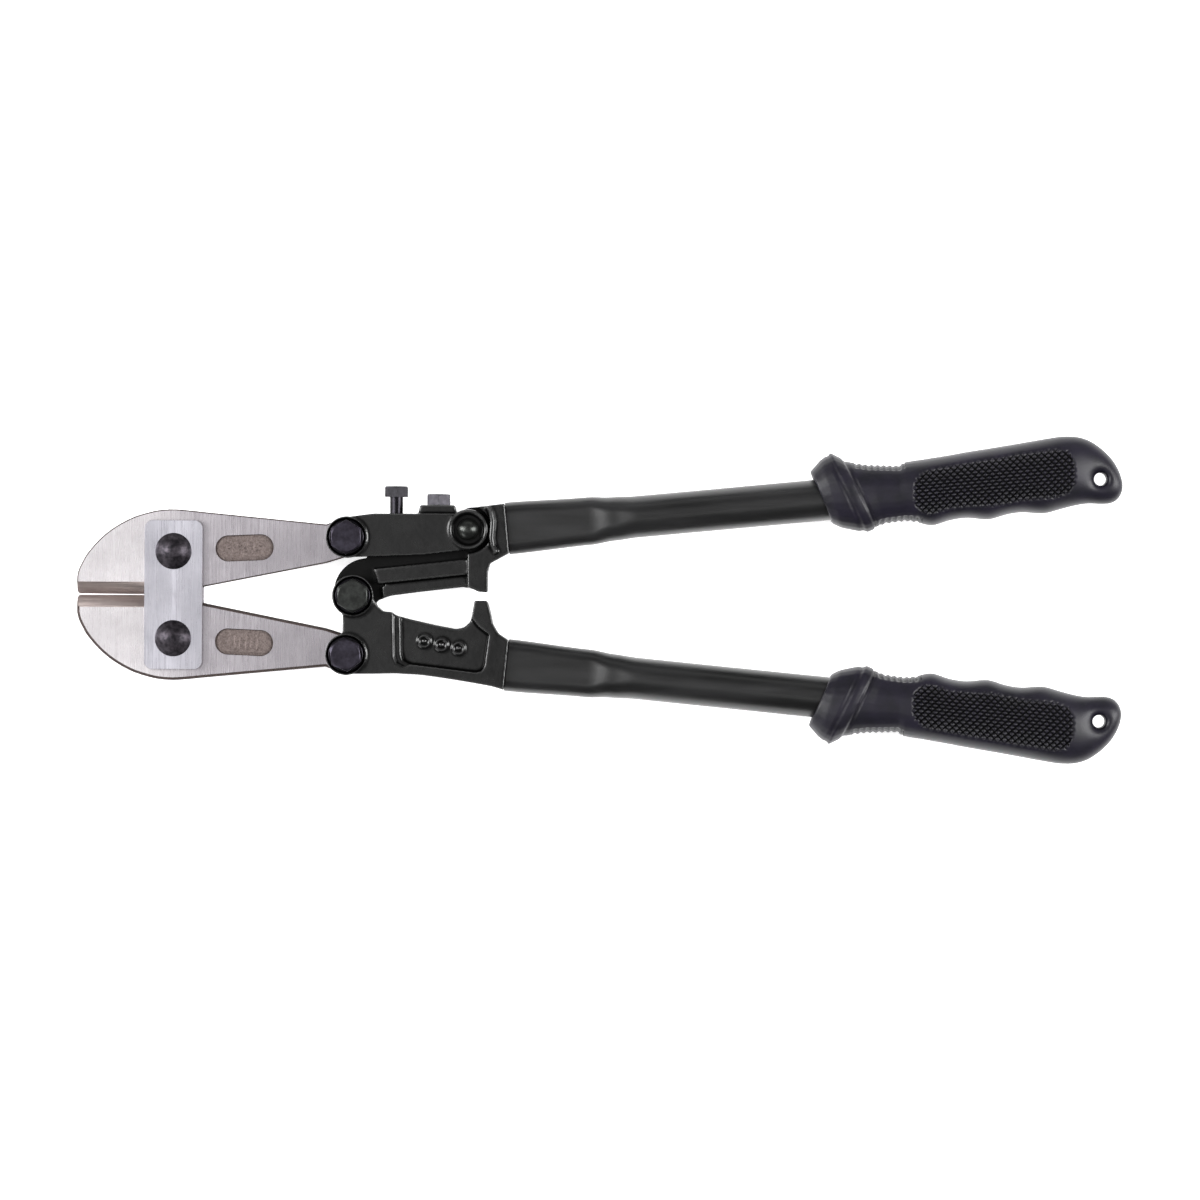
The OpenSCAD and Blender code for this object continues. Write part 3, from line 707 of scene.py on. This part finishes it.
bm = bmesh.new()
bm.from_mesh(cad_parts["upper_fitting"].data)
fitting_tree = BVHTree.FromBMesh(bm)
bm.free()
link_extras = []
upper_extras = []
lower_extras = []
for face in (1, -1):
    upper_extras.append(bead_solid(fitting_tree, shoulder_path, face, bead_radius))
    for extras, washer in ((link_extras, "upper_tail_washer"), (lower_extras, "lower_tail_washer"),
                           (lower_extras, "centre_washer")):
        extras.append(raised_ring(sum(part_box(washer), Vector()) / 2, lip, face, prong_out))
    link_extras.append(raised_ring(pivot, collar, face, prong_out))
    for k in range(3):
        at = (centre.x + (31.2 + 7.5 * k) * mm, centre.y - (19.6 + 1.5 * k) * mm)
        lower_extras.append(raised_ring(at, wire, face, panel_floor, 48))
        lower_extras.append(raised_ring(at, pip, face, panel_floor, 24))

forgings = []
for node, body, extras in (("adjuster_link", "upper_handle", link_extras),
                           ("upper_fitting", "upper_handle", upper_extras),
                           ("lower_fitting", "lower_handle", lower_extras)):
    forging = forge(node, "forged_" + node, 0.35 * mm, 18, extras)
    forging.data.materials.append(fitting_paint)
    forging.data.materials.append(hollow_shade_paint)
    # Faces deep inside the tool that face up or down take the flat black painted shade.
    for face in forging.data.polygons:
        deep = abs(face.center.z - middle_z) < hollow_level
        face.material_index = 1 if deep and abs(face.normal.z) > 0.5 else 0
    finish_piece(forging, (), body, "fitting_paint", node)
    forgings.append(forging)


# ---- Tube handles ----
# Drawn steel tube, pressed flat over the fitting's tongue at the front and left round behind,
# powder-coated satin black. Two punch marks at the mouth stake it to the tongue.
tube_coat = black_paint("satin_powder_coat", "#0a0a0a", "#171718", 0.33, 8.0)
handle_angle = math.radians(5.5)
tube_start = 67 * mm
axis_start = 29.83 * mm
tube_radius = 9.1 * mm
tube_wall = 1.6 * mm
# Shape of the tube along its run: distance from its mouth, half height and half thickness, in mm.
tube_keys = [(0, 11.4, 5.7), (36, 10.5, 5.9), (46.5, 9.6, 7.8), (57, 9.1, 9.1), (400, 9.1, 9.1)]
stakes = [(2.6, 3.2), (2.6, -1.6)]
stake_depth = 0.24


def tube_halves(run):
    """Half height and half thickness of the tube at a run from its mouth, in metres."""
    for (start, high, thick), (end, next_high, next_thick) in zip(tube_keys, tube_keys[1:]):
        if run <= end * mm:
            share = smooth_step(start * mm, end * mm, run)
            return ((high + (next_high - high) * share) * mm,
                    (thick + (next_thick - thick) * share) * mm)
    return tube_radius, tube_radius


def tube_ring(run, inset, side, sides=88):
    """One ring of the tube's skin, square to its axis, with the punch marks pressed in."""
    half_high, half_thick = tube_halves(run)
    half_high -= inset
    half_thick -= inset
    ring = []
    for k in range(sides):
        angle = 2 * math.pi * (k + 0.5) / sides
        across = half_thick * math.cos(angle) + math.copysign(half_high - half_thick, math.cos(angle))
        rise = half_thick * math.sin(angle)
        for at, up in stakes:
            reach = math.hypot(run - at * mm, across - up * mm)
            rise *= 1 - stake_depth * smooth_step(1.5 * mm, 0.3 * mm, reach)
        x = centre.x + tube_start + run * math.cos(handle_angle) - across * math.sin(handle_angle)
        y = axis_start + run * math.sin(handle_angle) + across * math.cos(handle_angle)
        ring.append((x, centre.y + side * y, middle_z + rise))
    return ring


def tube_skin(name, side, length):
    """The whole tube: outer skin, rounded mouth, inner skin and back rim."""
    runs = [0.25 * mm * k for k in range(18)]
    while runs[-1] < length:
        runs.append(min(runs[-1] + (1.2 * mm if runs[-1] < 0.06 else 6 * mm), length))
    rings = [tube_ring(0.35 * mm, tube_wall, side), tube_ring(0, 0.9 * mm, side),
             tube_ring(0, 0.35 * mm, side), tube_ring(0.1 * mm, 0.1 * mm, side)]
    rings += [tube_ring(run, 0, side) for run in runs if run > 0.3 * mm]
    rings += [tube_ring(run, tube_wall, side) for run in reversed(runs) if run > 0.5 * mm]
    sides = len(rings[0])
    verts = [point for ring in rings for point in ring]
    faces = []
    for i in range(len(rings)):
        here = i * sides
        there = ((i + 1) % len(rings)) * sides
        faces += [(here + k, there + k, there + (k + 1) % sides, here + (k + 1) % sides)
                  for k in range(sides)]
    return solid_object(name, verts, faces)


for side, node, body in ((1, "upper_tube", "upper_handle"), (-1, "lower_tube", "lower_handle")):
    length = (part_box(node)[1].x - centre.x - tube_start) / math.cos(handle_angle) - 0.9 * mm
    piece = tube_skin("handle_" + node, side, length)
    piece.data.shade_smooth()
    piece.data.set_sharp_from_angle(angle=math.radians(50))
    finish_piece(piece, (tube_coat,), body, "tube_paint", node)
    close_by.append(piece)

# Painted shade between pieces: each forging also looks outwards for neighbours that stand over it,
# fasteners and tubes close by and the other forgings further off, and is darkened near them as in its own
# corners.
for forging in forgings:
    hollow = hollowness(forging.data, 14)
    others = [other for other in forgings if other is not forging]
    for neighbours, look_out, reach, weight in ((close_by, 1.3 * mm, 1.9 * mm, 0.3),
                                                (others, 2.5 * mm, 5 * mm, 0.32)):
        around = bmesh.new()
        for other in neighbours:
            around.from_mesh(other.data)
        tree = BVHTree.FromBMesh(around)
        around.free()
        for vertex in forging.data.vertices:
            if abs(vertex.normal.z) > 0.4:
                distance = tree.find_nearest(vertex.co + vertex.normal * look_out, reach)[3]
                if distance is not None:
                    hollow[vertex.index] += weight * (1 - distance / reach)
    store_hollow(forging.data, hollow)


# ---- Grips ----
# Soft PVC sleeves moulded over the tube ends: a slanted collar with a raised rib, a serrated neck,
# a diamond-knurled panel on each face and a flattened end with the hanging hole.
def moulded_rubber():
    """Matt purple-black PVC: a fine mould grain that keeps the surface from shining evenly. The cut
    grooves are darkened and lose their shine: painted shade.
    """
    material, place = blank_material("moulded_pvc")
    grain = add_node(material, "ShaderNodeTexNoise", {"Scale": 1800.0, "Detail": 3.0}, {"Vector": place})
    haze = add_node(material, "ShaderNodeTexNoise", {"Scale": 120.0, "Detail": 4.0}, {"Vector": place})
    tint = colour_ramp(material, haze.outputs["Fac"], (0.3, "#0b0a12"), (0.7, "#16131f"))
    bump = add_node(material, "ShaderNodeBump", {"Strength": 0.25, "Distance": 0.0001},
                    {"Height": grain.outputs["Fac"]})
    # Painted shade: the cut grooves turn darker and lose their shine.
    tint, specular = shade_corners(material, tint, 0.08, 0.8, 0.3)
    return surface(material, {"Roughness": 0.42},
                   {"Base Color": tint, "Specular IOR Level": specular, "Normal": bump.outputs[0]})


rubber = moulded_rubber()
collar_slant = 0.457
knurl_pitch = 2.15 * mm
knurl_half_width = 0.8
tooth_pitch = 2.65 * mm
soft_length = 92 * mm
knurl_reach = 95 * mm
# Knurled panel: distance from the grip's end, and its outer and inner limits from the tube axis.
panel_edges = [(21, 5, -3), (24, 12.6, -8), (30, 14.2, -9.6), (44, 13.4, -9.6), (58, 12.4, -11),
               (68, 11.6, -10), (76, 11, -10.2), (84, 10.2, -12), (88, 9.4, -11), (91, 6.5, -8),
               (93, 1, -2)]


def panel_limits(reach):
    """Outer and inner limits of the knurled panel at a distance from the grip's end, in mm."""
    for (start, top, low), (end, next_top, next_low) in zip(panel_edges, panel_edges[1:]):
        if start <= reach <= end:
            share = (reach - start) / (end - start)
            return top + (next_top - top) * share, low + (next_low - low) * share
    return 0, 0


def groove(distance, half_width):
    """Depth share of a rounded groove at a distance from its middle."""
    return smooth_step(half_width, 0, abs(distance))


def grip_depth(reach, offset, upright):
    """How deep the mould's detail cuts into the sleeve, in metres. Reach and offset are in mm, and
    upright is the share of the surface normal that points through the tool."""
    slant = reach - collar_slant * offset
    depth = 0.4 * groove(slant - 120.4, 1.8) + 0.55 * groove(slant - 114.2, 1.5)
    flat = smooth_step(0.35, 0.6, upright)
    edge = smooth_step(0.7, 0.45, upright)
    outer_neck = offset > 0 and 95.5 < reach < 118.5
    inner_neck = offset < 0 and 88 < reach < 108.5
    if outer_neck or inner_neck:
        depth += edge * 0.62 * (0.5 + 0.5 * math.cos(2 * math.pi * reach * mm / tooth_pitch))
    top, low = panel_limits(reach)
    inside = min(top - offset, offset - low, reach - 20.5, 93 - reach)
    if inside > 0:
        spread = knurl_pitch / mm
        first = (reach + offset) / math.sqrt(2)
        second = (reach - offset) / math.sqrt(2)
        cut = max(groove(first - spread * round(first / spread), knurl_half_width),
                  groove(second - spread * round(second / spread), knurl_half_width))
        depth += flat * 0.9 * cut * smooth_step(0, 2.5, inside)
    return depth * mm


grip_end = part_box("upper_grip")[1].x
axis_rise = math.tan(handle_angle)
for side, node, body in ((1, "upper_grip", "upper_handle"), (-1, "lower_grip", "lower_handle")):
    sleeve = forge(node, "sleeve_" + node, 0.34 * mm, 6, soft_from=grip_end - soft_length)
    mesh = sleeve.data
    normals = [vertex.normal.copy() for vertex in mesh.vertices]
    groove_shade = np.zeros(len(normals))
    for vertex, normal in zip(mesh.vertices, normals):
        x, y, z = vertex.co
        axis = axis_start + (x - centre.x - tube_start) * axis_rise
        offset = (side * (y - centre.y) - axis) / mm
        outward = Vector((0, side * offset, (z - middle_z) / mm)).dot(normal) > 0
        if outward:
            cut = grip_depth((grip_end - x) / mm, offset, abs(normal.z))
            vertex.co = vertex.co - normal * cut
            # Painted shade: the depth of each cut, weaker on the collar's grooves, is kept to darken the
            # rubber in the grooves.
            groove_shade[vertex.index] = cut / mm * (1 if grip_end - x < knurl_reach else 0.4)
        vertex.co.x = min(vertex.co.x, grip_end)
    store_hollow(mesh, groove_shade)
    finish_piece(sleeve, (rubber,), body, "grip_rubber", node)
